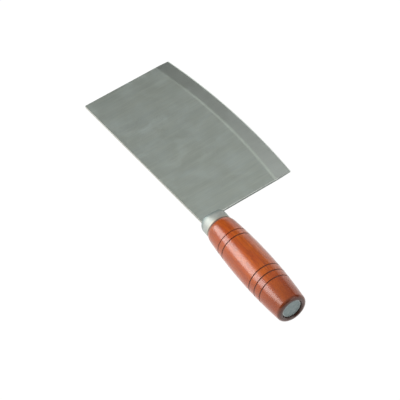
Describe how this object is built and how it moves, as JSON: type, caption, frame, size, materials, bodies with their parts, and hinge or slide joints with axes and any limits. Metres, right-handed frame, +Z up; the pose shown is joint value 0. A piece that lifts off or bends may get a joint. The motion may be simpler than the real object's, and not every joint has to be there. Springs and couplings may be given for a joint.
{
  "type": "kitchen cleaver",
  "caption": "Chinese-style kitchen cleaver: broad rectangular blade with a gently curved edge, steel ferrule and a turned wooden grip.",
  "frame": {"origin": "on the ground plane, under the middle of the knife's box as it lies on its side", "axes": "+Z up; the knife lies on its side with the grip's axis along X (front end of the blade towards +X, dipping 3.6 degrees because the grip is thicker than the blade) and the spine towards +Y"},
  "size_m": [0.3426, 0.1164, 0.0375],
  "materials": {
    "blade_steel": "satin, ground across the blade",
    "ferrule_steel": "polished",
    "lacquered_wood": "gloss lacquer over reddish hardwood",
    "cap_metal": "matt, lightly worn",
    "plain_steel": "bright zinc",
    "weld_metal": "as welded"
  },
  "bodies": {
    "root": {"blade": "blade_steel", "tang_rod": "plain_steel", "tang_weld": "weld_metal", "ferrule": "ferrule_steel", "handle_grip": "lacquered_wood", "butt_washer": "plain_steel", "butt_nut": "plain_steel", "butt_cap": "cap_metal"}
  },
  "joints": []
}
